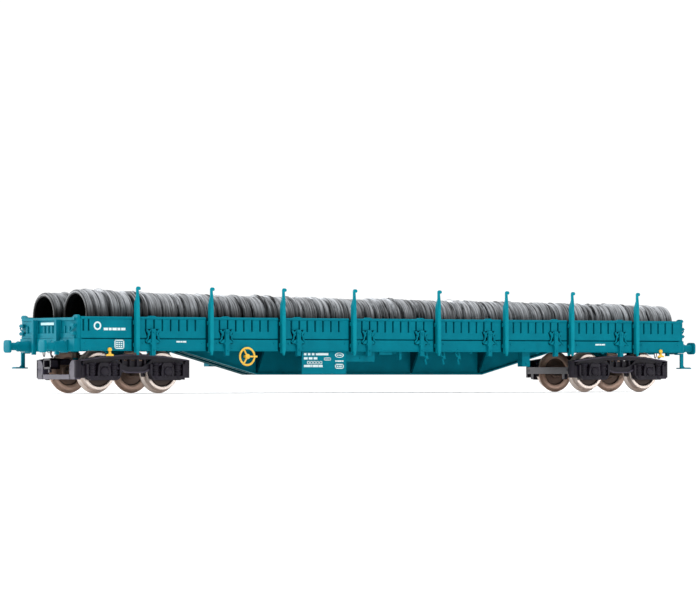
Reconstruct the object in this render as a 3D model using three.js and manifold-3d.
// A 1:87 model of a bogie stake wagon that carries two rows of wire-rod coils.
// Millimetres. +X runs along the wagon, +Z is up, and the near side of the body faces -Y.
// The origin is on the ground under the middle of the wagon, where the wheel flanges stand.

import * as THREE from 'three';
import { mergeVertices } from 'three/addons/utils/BufferGeometryUtils.js';
import Module from 'manifold-3d';

const wasm = await Module();
wasm.setup();

// ---------------------------------------------------------------- driving dimensions

const flangeDepth = 0.95;                 // the rail top stands this high over the ground
const above = (height) => flangeDepth + height;   // a height over the rail top

const pivotX = 85.4;                      // bogie pivots stand at plus and minus this
const halfWheelbase = 10.35;
const axleHeight = above(5.28);
const treadRadius = 5.28;
const wheelBack = 7.2;                    // half the distance between the wheel backs
const wheelFace = 10.0;
const frameEnd = 18.6;                    // a bogie frame's ends, from its pivot
const wheelSides = 20;
const axleSides = 10;

const wallFace = 16.2;                    // outer plane of the side walls and sills
const wallBack = 15.0;
const recessFace = 15.6;                  // bottom of the channels behind the stakes
const sideHalfLength = 105.3;
const endFace = 106.3;                    // outer plane of the end walls
const beamFace = 106.9;                   // outer plane of the buffer beams

const sillBottom = above(11.0);
const floorUnder = above(13.5);
const floorTop = above(14.2);
const seam = above(14.5);                 // the drop sides stand on the sills here
const ribBottom = above(16.6);
const ribTop = above(19.5);
const wallTop = above(20.6);

const stakeX = [-87.68, -63.35, -39.15, -14.85, 14.85, 39.15, 63.35, 87.68];
const recessHalfWidth = 1.7;
const latchOffset = 5.58;                 // each latch post stands this far towards the middle

const bufferY = 10.05;
const bufferHeight = above(12.3);
const bufferReach = 114.4;                // the buffer heads' faces

const girderFlat = 39.6;                  // the girder's belly is level out to here
const girderRise = 65;                    // and has risen to the shallow end sills here
const girderFlange = 4.0;                 // half the width of the belly flange
const girderBottom = above(4.3);
const endSillBottom = above(11.0);

// ---------------------------------------------------------------- solids and meshes

// A closed geometry becomes a solid, with its faces turned outwards.
function solid(geometry) {
  const plain = geometry.clone();
  plain.deleteAttribute('normal');
  plain.deleteAttribute('uv');
  const merged = mergeVertices(plain, 1e-4);
  const place = merged.getAttribute('position');
  const corners = [];
  let volume = 0;
  const [a, b, c] = [new THREE.Vector3(), new THREE.Vector3(), new THREE.Vector3()];
  for (let i = 0; i < merged.index.count; i += 3) {
    const tri = [merged.index.getX(i), merged.index.getX(i + 1), merged.index.getX(i + 2)];
    if (tri[0] === tri[1] || tri[1] === tri[2] || tri[2] === tri[0]) continue;
    corners.push(...tri);
    a.fromBufferAttribute(place, tri[0]);
    b.fromBufferAttribute(place, tri[1]);
    c.fromBufferAttribute(place, tri[2]);
    volume += a.dot(b.cross(c));
  }
  const order = volume < 0 ? corners.reverse() : corners;
  return new wasm.Manifold(new wasm.Mesh({
    numProp: 3,
    vertProperties: new Float32Array(place.array),
    triVerts: new Uint32Array(order),
  }));
}

const join = (parts) => parts.reduce((whole, part) => whole.add(part));
const cut = (whole, tools) => tools.reduce((rest, tool) => rest.subtract(tool), whole);

// A block between two corners given as ranges along X, Y and Z.
function block([x0, x1], [y0, y1], [z0, z1]) {
  const shape = new THREE.BoxGeometry(x1 - x0, y1 - y0, z1 - z0);
  shape.translate((x0 + x1) / 2, (y0 + y1) / 2, (z0 + z1) / 2);
  return solid(shape);
}

function extruded(outline, depth) {
  const shape = new THREE.Shape(outline.map(([u, v]) => new THREE.Vector2(u, v)));
  return new THREE.ExtrudeGeometry(shape, { depth, bevelEnabled: false, curveSegments: 8 });
}

// A plate whose outline is given in X and Z, between two values of Y.
function plateXZ(outline, y0, y1) {
  const shape = extruded(outline, y1 - y0);
  shape.rotateX(Math.PI / 2);
  shape.translate(0, y1, 0);
  return solid(shape);
}

// A plate whose outline is given in Y and Z, between two values of X.
function plateYZ(outline, x0, x1) {
  const shape = extruded(outline, x1 - x0);
  shape.rotateX(Math.PI / 2);
  shape.rotateZ(Math.PI / 2);
  shape.translate(x0, 0, 0);
  return solid(shape);
}

// A plate whose outline is given in X and Y, between two heights.
function plateXY(outline, z0, z1) {
  const shape = extruded(outline, z1 - z0);
  shape.translate(0, 0, z0);
  return solid(shape);
}

// A solid of revolution about Y; the profile lists radius and Y. Half a side is turned down.
function turnedY(profile, sides) {
  const points = profile.map(([radius, y]) => new THREE.Vector2(radius, y));
  const shape = new THREE.LatheGeometry(points, sides);
  shape.rotateY(Math.PI / sides);
  return solid(shape);
}

const turnedZ = (profile, sides) => turnedY(profile, sides).rotate([90, 0, 0]);
const turnedX = (profile, sides) => turnedY(profile, sides).rotate([0, 0, -90]);

// The four corners of a rectangle, for the plates above.
const rectangle = (u0, u1, v0, v1) => [[u0, v0], [u1, v0], [u1, v1], [u0, v1]];

// The outline of a disc.
function disc(u, v, radius, sides) {
  return Array.from({ length: sides }, (_, i) => {
    const angle = (2 * Math.PI * (i + 0.5)) / sides;
    return [u + radius * Math.cos(angle), v + radius * Math.sin(angle)];
  });
}

const mirrorX = (part) => part.mirror([1, 0, 0]);
const mirrorY = (part) => part.mirror([0, 1, 0]);
const bothSides = (part) => join([part, mirrorY(part)]);
const turnRound = (part) => part.rotate([0, 0, 180]);

const wagon = new THREE.Group();

const finishes = {
  body: { color: 0x048a94, roughness: 0.5, metalness: 0 },
  stake: { color: 0x06a0aa, roughness: 0.5, metalness: 0 },
  bogie: { color: 0x2f2b33, roughness: 0.6, metalness: 0 },
  yellow: { color: 0xf2c230, roughness: 0.45, metalness: 0 },
  steel: { color: 0xb9b4ac, roughness: 0.3, metalness: 1 },
  nickel: { color: 0xd8d2c8, roughness: 0.22, metalness: 1 },
  wire: { color: 0x47484b, roughness: 0.5, metalness: 0.5 },
};

function add(name, part, finish, parent = wagon, place = [0, 0, 0]) {
  const { vertProperties, triVerts } = part.getMesh();
  const geometry = new THREE.BufferGeometry();
  geometry.setAttribute('position', new THREE.BufferAttribute(vertProperties, 3));
  geometry.setIndex(new THREE.BufferAttribute(triVerts, 1));
  geometry.computeVertexNormals();
  const mesh = new THREE.Mesh(geometry, new THREE.MeshStandardMaterial(finishes[finish]));
  mesh.name = name;
  mesh.position.set(...place);
  parent.add(mesh);
}

// ---------------------------------------------------------------- deck

// The floor, the two sills with their latch posts, and the two buffer beams.
function latchPost(x) {
  const half = 0.65;
  const post = plateYZ([[-17.05, above(9.7)], [-15.8, above(9.7)], [-15.8, above(13.6)],
    [-16.25, above(14.1)], [-16.25, above(17.25)], [-17.05, above(17.25)]], x - half, x + half);
  const wing = [[2.6, 13.7], [1.75, 14.5], [2.3, 17.0]];
  const levers = [...wing.map(([u, v]) => [x + u, above(v)]), [x, above(15.2)],
    ...wing.map(([u, v]) => [x - u, above(v)]).reverse(), [x, above(13.0)]];
  return join([post, plateXZ(levers, -16.75, -16.3)]);
}

function sill() {
  const face = plateYZ([
    [-wallFace, sillBottom], [-wallBack, sillBottom], [-wallBack, seam],
    [-wallFace + 0.25, seam], [-wallFace, above(14.15)],
  ], -sideHalfLength, sideHalfLength);
  const channels = stakeX.map((x) => block(
    [x - recessHalfWidth, x + recessHalfWidth], [-17, -recessFace], [above(10), above(15)]));
  const posts = stakeX.map((x) => latchPost(x - Math.sign(x) * latchOffset));
  return join([cut(face, channels), ...posts]);
}

function bufferBeam() {
  const beam = block([104.6, beamFace], [-15.9, 15.9], [above(10.8), seam]);
  const chamfer = plateXY([[107.2, 15.2], [107.2, 16.2], [106.0, 16.2]], above(10), above(15));
  return cut(beam, [chamfer, mirrorY(chamfer)]);
}

function brakeBracket() {
  const lug = block([-52.05, -50.25], [-15.9, -14.4], [above(8.6), above(11.3)]);
  const hole = turnedY([[0, -16.5], [0.62, -16.5], [0.62, -14], [0, -14]], 12);
  return cut(lug, [hole.translate([-51.15, 0, above(9.5)])]);
}

function deck() {
  const floor = block([-104.8, 104.8], [-15.2, 15.2], [floorUnder, floorTop]);
  const side = join([sill(), brakeBracket()]);
  return join([floor, side, turnRound(side), bufferBeam(), mirrorX(bufferBeam())]);
}

add('deck', deck(), 'body');

// ---------------------------------------------------------------- side walls

// The near wall: a thin back plate, with raised ribbed panels between the stake channels.
function sideWall() {
  const back = block([-sideHalfLength, sideHalfLength], [-recessFace, -wallBack],
    [seam, above(20.1)]);
  const edges = [-sideHalfLength, ...stakeX.flatMap(
    (x) => [x - recessHalfWidth, x + recessHalfWidth]), sideHalfLength];
  const ribPitch = 2.72;
  const panels = [];
  for (let i = 0; i < edges.length; i += 2) {
    const [x0, x1] = [edges[i], edges[i + 1]];
    const smooth = i === 0;
    const grooves = [];
    if (smooth) grooves.push(x0 + 0.9, x0 + 2.6);
    else for (let x = x0 + 1.75; x < x1 - 0.9; x += ribPitch) grooves.push(x);
    const outline = [[x1, -wallBack - 0.3], [x0, -wallBack - 0.3], [x0, -wallFace]];
    for (const x of grooves) {
      outline.push([x - 0.32, -wallFace], [x, -recessFace - 0.1], [x + 0.32, -wallFace]);
    }
    outline.push([x1, -wallFace]);
    panels.push(plateXY(outline, ribBottom - 0.01, ribTop + 0.01));
    panels.push(plateYZ([
      [-wallBack - 0.3, seam], [-wallBack - 0.3, ribBottom], [-wallFace, ribBottom],
      [-wallFace, above(14.8)], [-wallFace + 0.25, seam],
    ], x0, x1));
    panels.push(plateYZ([
      [-wallBack, ribTop], [-wallBack, wallTop - 0.15], [-wallBack - 0.15, wallTop],
      [-wallFace - 0.1, wallTop], [-wallFace - 0.25, wallTop - 0.2],
      [-wallFace - 0.25, ribTop + 0.2], [-wallFace, ribTop],
    ], x0, x1));
  }
  return join([back, ...panels]);
}

add('side_wall_near', sideWall(), 'body');
add('side_wall_far', turnRound(sideWall()), 'body');

// ---------------------------------------------------------------- end walls

// The right end wall; its two posts reach down in front of the buffer beam.
function endWall() {
  const panel = plateXY([
    [sideHalfLength + 0.05, -wallFace], [endFace - 0.7, -wallFace], [endFace, -wallFace + 0.7],
    [endFace, wallFace - 0.7], [endFace - 0.7, wallFace], [sideHalfLength + 0.05, wallFace],
  ], seam, above(20.3));
  const rim = block([105.6, 106.7], [-15.0, 15.0], [above(19.5), above(20.3)]);
  const foot = block([105.9, 106.75], [-15.2, 15.2], [above(14.55), above(15.1)]);
  const ribs = [-12, -9.4, -2.2, 0, 2.2, 9.4, 12].map(
    (y) => block([105.9, 106.65], [y - 0.3, y + 0.3], [above(15.9), above(18.0)]));
  const band = block([105.9, 106.65], [-15.0, 15.0], [above(15.0), above(15.95)]);
  const post = block([106.0, 107.95], [6.0, 7.1], [above(14.6), above(19.75)]);
  const leg = block([beamFace + 0.05, 107.95], [6.0, 7.1], [above(9.95), above(14.7)]);
  const label = block([105.9, 106.75], [-3.9, 3.9], [above(18.1), above(19.1)]);
  const latch = plateYZ([[12.6, above(20.25)], [14.2, above(21.0)], [15.5, above(21.1)],
    [16.2, above(20.7)], [16.2, above(20.2)], [12.6, above(20.2)]], 105.4, 106.25);
  const catches = [15.4, 17.6].map(
    (z) => block([106.1, 107.1], [13.6, 15.3], [above(z), above(z + 1.0)]));
  const pairs = [post, leg, latch, ...catches];
  return join([panel, rim, foot, band, label, ...ribs, ...pairs, ...pairs.map(mirrorY)]);
}

add('end_wall_right', endWall(), 'body');
add('end_wall_left', mirrorX(endWall()), 'body');

// ---------------------------------------------------------------- stakes

// A near stake, standing at X = 0: a tapered front plate with a pointed foot, on a narrow spine
// that is pegged to the side behind it. A tall one runs on to a small hook.
function stake(tall) {
  const inner = -recessFace - 0.3;
  const outer = -17.7;
  const plateBack = outer + 0.6;
  const half = 0.76;
  const hook = [[0.4, above(27.4)], [0.4, above(28.2)], [1.0, above(28.2)], [1.05, above(28.85)],
    [0.5, above(29.05)], [-0.3, above(29.05)], [-0.45, above(28.6)], [-0.45, above(27.4)]];
  const plate = plateXZ([
    [-0.35, above(9.85)], [0.35, above(9.85)], [half, above(11.3)], [half, above(19.5)],
    [0.6, above(25.2)], ...(tall ? hook : []), [-0.6, above(25.2)],
    [-half, above(19.5)], [-half, above(11.3)],
  ], outer, plateBack);
  const spineTop = tall ? above(27.2) : above(25.1);
  const spine = plateYZ([[plateBack - 0.1, above(10.4)], [inner, above(10.4)],
    [inner, above(24.4)], [plateBack - 0.1, spineTop]], -0.3, 0.3);
  const pegs = [12.2, 18.4].map(
    (z) => block([-0.5, 0.5], [inner - 0.1, -recessFace - 0.02], [above(z), above(z + 1.1)]));
  return join([plate, spine, ...pegs]);
}

stakeX.forEach((x, i) => {
  add(`stake_near_${i + 1}`, stake(true), 'stake', wagon, [x, 0, 0]);
  add(`stake_far_${i + 1}`, turnRound(stake(false)), 'stake', wagon, [x, 0, 0]);
});

// ---------------------------------------------------------------- underframe

// The height of the girder's underside along the wagon, right half.
const bellyLine = (lift) => [
  [girderFlat, girderBottom + lift], [girderRise, endSillBottom + lift],
  [104.5, endSillBottom + lift],
];

function girders() {
  const web = [...bellyLine(0.2), [104.5, floorUnder]];
  const webOutline = [...web, ...web.map(([x, z]) => [-x, z]).reverse()];
  const webs = bothSides(plateXZ(webOutline, -2.95, -2.4));
  const low = bellyLine(0);
  const high = bellyLine(0.45).reverse();
  const flangeOutline = [...low, ...high, ...bellyLine(0.45).map(([x, z]) => [-x, z]),
    ...bellyLine(0).map(([x, z]) => [-x, z]).reverse()];
  return [webs, plateXZ(flangeOutline, -girderFlange, girderFlange)];
}

// A gusset from the girder's web out to the sill.
function gusset(x) {
  const low = Math.abs(x) < girderFlat ? above(5.2) : above(5.6);
  return bothSides(plateYZ([[-14.9, above(11.3)], [-14.9, floorUnder], [-2.6, floorUnder],
    [-2.6, low], [-3.4, low]], x - 0.35, x + 0.35));
}

// The bolster with its round boss over a bogie, bored from below for the pivot pin, and
// the peg that the coupler swings on.
function bogieSeat() {
  const bolster = block([pivotX - 3, pivotX + 3], [-14.9, 14.9], [above(11.7), floorUnder]);
  const boss = turnedZ([[0, above(8.5)], [3.1, above(8.5)], [3.1, above(13)], [0, above(13)]], 16);
  const bore = turnedZ([[0, above(8)], [1.4, above(8)], [1.4, above(12.6)], [0, above(12.6)]], 12);
  const peg = turnedZ([[0, above(6.9)], [1.4, above(6.9)], [1.4, above(7.3)], [0.75, above(7.3)],
    [0.75, above(11.3)], [0, above(11.3)]], 12);
  const seat = join([bolster, boss.translate([pivotX, 0, 0]), peg.translate([97.6, 0, 0])]);
  return [seat, bore.translate([pivotX, 0, 0])];
}

// Equipment under the near side, hung on crossbars from the girder.
function equipment() {
  const crossbar = (x) => block([x - 0.6, x + 0.6], [-14.9, -2.6], [above(12.9), floorUnder]);
  const toolBox = block([46.7, 49.5], [-14.9, -12.5], [above(6.7), floorUnder]);
  const airBox = block([-16.2, -6.1], [-14.9, -12.2], [above(8.1), floorUnder]);
  return [toolBox, crossbar(48.1), airBox, crossbar(-11.0)];
}

function underframe() {
  const [seat, bore] = bogieSeat();
  const farBox = block([-46.1, -42.0], [11.9, 14.9], [above(6.7), floorUnder]);
  const farBar = block([-44.7, -43.5], [2.6, 14.0], [above(12.9), floorUnder]);
  const gussets = [-39.15, -14.85, 14.85, 39.15].map(gusset);
  const whole = join([...girders(), ...gussets, seat, mirrorX(seat), ...equipment(),
    farBox, farBar]);
  return cut(whole, [bore, mirrorX(bore)]);
}

add('underframe', underframe(), 'body');
add('ballast_weight', block([-36, 36], [-2.1, 2.1], [above(4.85), above(12.9)]), 'steel');

// ---------------------------------------------------------------- bogies

// One near side frame with its axleboxes and spring pots; X counts from the bogie's pivot.
function sideFrame() {
  const face = -11.9;
  const back = -10.4;
  const beam = plateXZ([
    [-frameEnd, above(3.4)], [-16.2, above(3.4)], [-16.2, above(6.9)], [-8.2, above(7.2)],
    [-3.1, above(4.95)], [3.1, above(4.95)], [8.2, above(7.2)], [16.2, above(6.9)],
    [16.2, above(3.4)], [frameEnd, above(3.4)], [frameEnd, above(8.5)], [10.3, above(9.5)],
    [3.2, above(10.1)], [-3.2, above(10.1)], [-10.3, above(9.5)], [-frameEnd, above(8.5)],
  ], face, back);
  const slots = [-2.7, 0, 2.7].map(
    (x) => block([x - 0.85, x + 0.85], [-13, face + 0.7], [above(7.3), above(8.7)]));
  const groups = [-halfWheelbase, halfWheelbase].map((x) => {
    const cradle = plateXZ([[x - 5.7, above(4.6)], [x - 4.6, above(2.75)], [x + 4.6, above(2.75)],
      [x + 5.7, above(4.6)], [x + 5.7, above(7.4)], [x + 4.9, above(7.4)], [x + 4.9, above(3.8)],
      [x - 4.9, above(3.8)], [x - 4.9, above(7.4)], [x - 5.7, above(7.4)]], -12.9, -11.0);
    const bearing = block([x - 1.9, x + 1.9], [-13.2, -10.6], [above(3.5), above(7.6)]);
    const cover = turnedY([[0, -13.6], [1.3, -13.6], [1.3, -13], [0, -13]], 8);
    const pots = [-3.6, 3.6].map((offset) => turnedZ([[0, above(3.5)], [1.25, above(3.5)],
      [1.25, above(7.6)], [0, above(7.6)]], 8).translate([x + offset, -11.9, 0]));
    return join([cradle, bearing, cover.translate([x, 0, axleHeight]), ...pots]);
  });
  const pits = [-halfWheelbase, halfWheelbase].map((x) => turnedY(
    [[0, -12.6], [0.5, -12.6], [1.1, -11.2], [1.1, -10], [0, -10]], 8
  ).translate([x, 0, axleHeight]));
  const corner = plateXY([[16.9, -12.1], [18.8, -12.1], [18.8, -11.2]], above(3), above(9));
  return cut(join([cut(beam, [...slots, corner, mirrorX(corner)]), ...groups]), pits);
}

// A whole bogie frame; its outer headstock, open for the coupler, faces +X.
function bogieFrame() {
  const bolster = block([-3.1, 3.1], [-11, 11], [above(6.3), above(8.2)]);
  const bore = turnedZ([[0, above(6)], [1.7, above(6)], [1.7, above(9)], [0, above(9)]], 12);
  const bar = block([17.3, frameEnd], [-10.9, 10.9], [above(3.0), above(4.4)]);
  const leg = block([16.6, frameEnd], [7.5, 10.9], [above(3.0), above(8.4)]);
  const inner = block([-frameEnd, -17.4], [-10.9, 10.9], [above(4.5), above(6.6)]);
  const claw = block([-frameEnd, -17.4], [7.3, 8.7], [above(2.9), above(4.7)]);
  const frame = join([bolster, bar, leg, mirrorY(leg), inner, claw, mirrorY(claw),
    sideFrame(), mirrorY(sideFrame())]);
  return cut(frame, [bore]);
}

// An axle turned to a point at each end, which runs in the frame's pits.
const axle = () => turnedY([[0, -12.3], [0.12, -12.3], [0.6, -11.1], [0.6, -10.45], [1, -10.3],
  [1, 10.3], [0.6, 10.45], [0.6, 11.1], [0.12, 12.3], [0, 12.3]], axleSides);

// A wheel; its flange's flats, not its corners, reach down to the ground.
function wheel() {
  const flangeRadius = axleHeight / Math.cos(Math.PI / wheelSides);
  return turnedY([[1.04, wheelBack], [flangeRadius, wheelBack],
    [treadRadius + 0.06, wheelBack + 0.85], [treadRadius, wheelFace], [4.35, wheelFace],
    [4.1, wheelFace - 0.8], [1.04, wheelFace - 0.8], [1.04, wheelBack]], wheelSides);
}

function bogie(side, sign, firstWheelset) {
  const group = new THREE.Group();
  group.position.set(sign * pivotX, 0, 0);
  wagon.add(group);
  const frame = sign > 0 ? bogieFrame() : turnRound(bogieFrame());
  add(`bogie_frame_${side}`, frame, 'bogie', group);
  [-halfWheelbase, halfWheelbase].forEach((x, i) => {
    const number = firstWheelset + i;
    const place = [x, 0, axleHeight];
    add(`axle_${number}`, axle(), 'steel', group, place);
    add(`wheel_${number}_near`, mirrorY(wheel()), 'nickel', group, place);
    add(`wheel_${number}_far`, wheel(), 'nickel', group, place);
  });
  const pin = turnedZ([[0, above(5.5)], [2.3, above(5.5)], [2.3, above(5.95)], [1.1, above(5.95)],
    [1.1, above(12.3)], [0, above(12.3)]], 12);
  add(`pivot_pin_${side}`, pin, 'steel', group);
}

bogie('left', -1, 1);
bogie('right', 1, 3);

// ---------------------------------------------------------------- couplers

// The right drawbar: an eye round the underframe's peg, a flat bar and an open pocket.
function drawbar() {
  const bar = plateXY([...disc(97.6, 0, 1.9, 12)], above(7.6), above(8.5));
  const arm = block([98.6, 104.0], [-1.3, 1.3], [above(7.6), above(8.5)]);
  const pocket = block([103.8, beamFace], [-2.1, 2.1], [above(5.9), above(8.9)]);
  const mouth = block([104.6, 108], [-1.6, 1.6], [above(6.5), above(8.3)]);
  const eye = plateXY(disc(97.6, 0, 1.0, 12), above(7), above(9));
  const stub = block([105.6, 106.3], [-0.4, 0.4], [above(4.85), above(6.1)]);
  return join([cut(join([bar, arm, pocket]), [eye, mouth]), stub]);
}

const spring = () => turnedZ([[0.95, above(8.75)], [1.35, above(8.75)], [1.35, above(10.6)],
  [0.95, above(10.6)], [0.95, above(8.75)]], 12).translate([97.6, 0, 0]);

[['right', (part) => part], ['left', mirrorX]].forEach(([side, turned]) => {
  add(`coupler_drawbar_${side}`, turned(drawbar()), 'bogie');
  add(`coupler_spring_${side}`, turned(spring()), 'steel');
});

// ---------------------------------------------------------------- buffers and small fittings

// A right-hand buffer with its centre line on X: base plate, sleeve, shank and oblong head.
function buffer() {
  const base = block([beamFace + 0.02, beamFace + 0.45], [-1.9, 1.9], [-1.8, 1.8]);
  const stem = turnedX([[0, beamFace + 0.3], [1.5, beamFace + 0.3], [1.5, 110.4], [1.1, 110.4],
    [1.1, 113.8], [0, 113.8]], 16);
  const corner = 0.7;
  const [w, h] = [1.9, 1.8];
  const head = plateYZ([[-w + corner, -h], [w - corner, -h], [w, -h + corner], [w, h - corner],
    [w - corner, h], [-w + corner, h], [-w, h - corner], [-w, -h + corner]], 113.6, bufferReach);
  return join([base, stem, head]);
}

for (const [side, turned] of [['right', (part) => part], ['left', mirrorX]]) {
  add(`buffer_${side}_near`, turned(buffer()), 'body', wagon, [0, -bufferY, bufferHeight]);
  add(`buffer_${side}_far`, turned(buffer()), 'body', wagon, [0, bufferY, bufferHeight]);
}

// The near brake handwheel, centred on its spindle: a ring, three spokes, a hub and a grip.
function handwheel() {
  const ringRadius = 2.42;
  const wire = 0.3;
  const ringProfile = Array.from({ length: 6 }, (_, i) => {
    const angle = (2 * Math.PI * i) / 5;
    return [ringRadius + wire * Math.cos(angle), wire * Math.sin(angle)];
  });
  const ring = turnedY(ringProfile, 20);
  const spoke = block([0.2, ringRadius], [-0.22, 0.22], [-0.26, 0.26]);
  const spokes = [0, 120, 240].map((turn) => spoke.rotate([0, turn, 0]));
  const hub = turnedY([[0, -0.45], [0.75, -0.45], [0.75, 0.35], [0.4, 0.35], [0.4, 2.4],
    [0, 2.4]], 12);
  const grip = block([ringRadius, 3.3], [-0.3, 0.3], [-0.28, 0.28]);
  return join([ring, ...spokes, hub, grip]);
}

const handwheelPlace = [-51.15, -17.0, above(9.5)];
add('handwheel_near', handwheel(), 'yellow', wagon, handwheelPlace);
add('handwheel_far', turnRound(handwheel()), 'yellow', wagon,
  [-handwheelPlace[0], -handwheelPlace[1], handwheelPlace[2]]);

// A shunter's step at the near right corner: a bar down from the sill and a foot plate.
function step() {
  const flange = block([104.0, 106.4], [-15.85, -14.6], [above(10.3), above(10.72)]);
  const bar = block([105.3, 106.4], [-16.0, -15.4], [above(6.1), above(10.72)]);
  const foot = block([105.3, 109.2], [-16.2, -13.8], [above(6.05), above(6.45)]);
  return join([flange, bar, foot]);
}

add('step_right_near', step(), 'body');
add('step_left_far', turnRound(step()), 'body');

// A brake release handle: a round knob on a flat foot.
function releaseHandle() {
  const outline = [[-1.1, 9.55], [1.1, 9.55], [1.1, 10.05], [0.3, 10.2], [0.3, 10.8]];
  const knob = disc(0, 11.35, 0.65, 10);
  const foot = plateXZ([...outline, [-0.3, 10.8], [-0.3, 10.2], [-1.1, 10.05]].map(
    ([u, v]) => [u, above(v)]), -16.8, -16.25);
  return join([foot, plateXZ(knob.map(([u, v]) => [u, above(v)]), -16.8, -16.25)]);
}

add('release_handle_near_1', releaseHandle(), 'yellow', wagon, [-96.1, 0, 0]);
add('release_handle_near_2', releaseHandle(), 'yellow', wagon, [97.3, 0, 0]);
add('release_handle_far_1', turnRound(releaseHandle()), 'yellow', wagon, [96.1, 0, 0]);
add('release_handle_far_2', turnRound(releaseHandle()), 'yellow', wagon, [-91.5, 0, 0]);

// The near data board, hung below the sill.
function dataBoard() {
  const board = block([-31.9, -16.6], [-15.9, -15.4], [above(4.4), above(10.95)]);
  const hanger = (x) => block([x - 0.6, x + 0.6], [-15.45, -14.7], [above(10.2), above(10.95)]);
  return join([board, hanger(-29.5), hanger(-19.0)]);
}

add('data_board_near', dataBoard(), 'body');
add('data_board_far', turnRound(dataBoard()), 'body');

// ---------------------------------------------------------------- load

// A row of wire-rod coils lying on the floor: one hollow body whose radius falls along X,
// and whose middle may drift sideways by the end.
const rowHalfSpacing = 7.3;
const coilWall = 1.35;

function loadRow(x0, x1, firstRadius, lastRadius, drift = 0) {
  const stations = 1;
  const gap = 0.02;
  const sides = 24;
  const point = (t, wall) => {
    const radius = firstRadius + (lastRadius - firstRadius) * t;
    const height = floorTop + gap + radius;
    return { x: x0 + (x1 - x0) * t, y: drift * t, radius: radius - wall, height };
  };
  const rings = [];
  for (let i = 0; i <= stations; i += 1) rings.push(point(i / stations, 0));
  for (let i = stations; i >= 0; i -= 1) rings.push(point(i / stations, coilWall));
  const positions = [];
  for (const { x, y, radius, height } of rings) {
    for (let j = 0; j < sides; j += 1) {
      const angle = (2 * Math.PI * (j + 0.5)) / sides;
      positions.push(x, y + radius * Math.cos(angle), height + radius * Math.sin(angle));
    }
  }
  const corners = [];
  for (let i = 0; i < rings.length; i += 1) {
    const next = (i + 1) % rings.length;
    for (let j = 0; j < sides; j += 1) {
      const k = (j + 1) % sides;
      const [a, b, c, d] = [i * sides + j, i * sides + k, next * sides + k, next * sides + j];
      corners.push(a, b, c, a, c, d);
    }
  }
  const shape = new THREE.BufferGeometry();
  shape.setAttribute('position', new THREE.BufferAttribute(new Float32Array(positions), 3));
  shape.setIndex(corners);
  return solid(shape);
}

add('load_row_near', loadRow(-102.1, 104.4, 7.1, 5.6, -0.7), 'wire', wagon,
  [0, -rowHalfSpacing, 0]);
add('load_row_far', loadRow(-104.0, 101.0, 6.75, 5.6), 'wire', wagon, [0, rowHalfSpacing, 0]);

export default wagon;
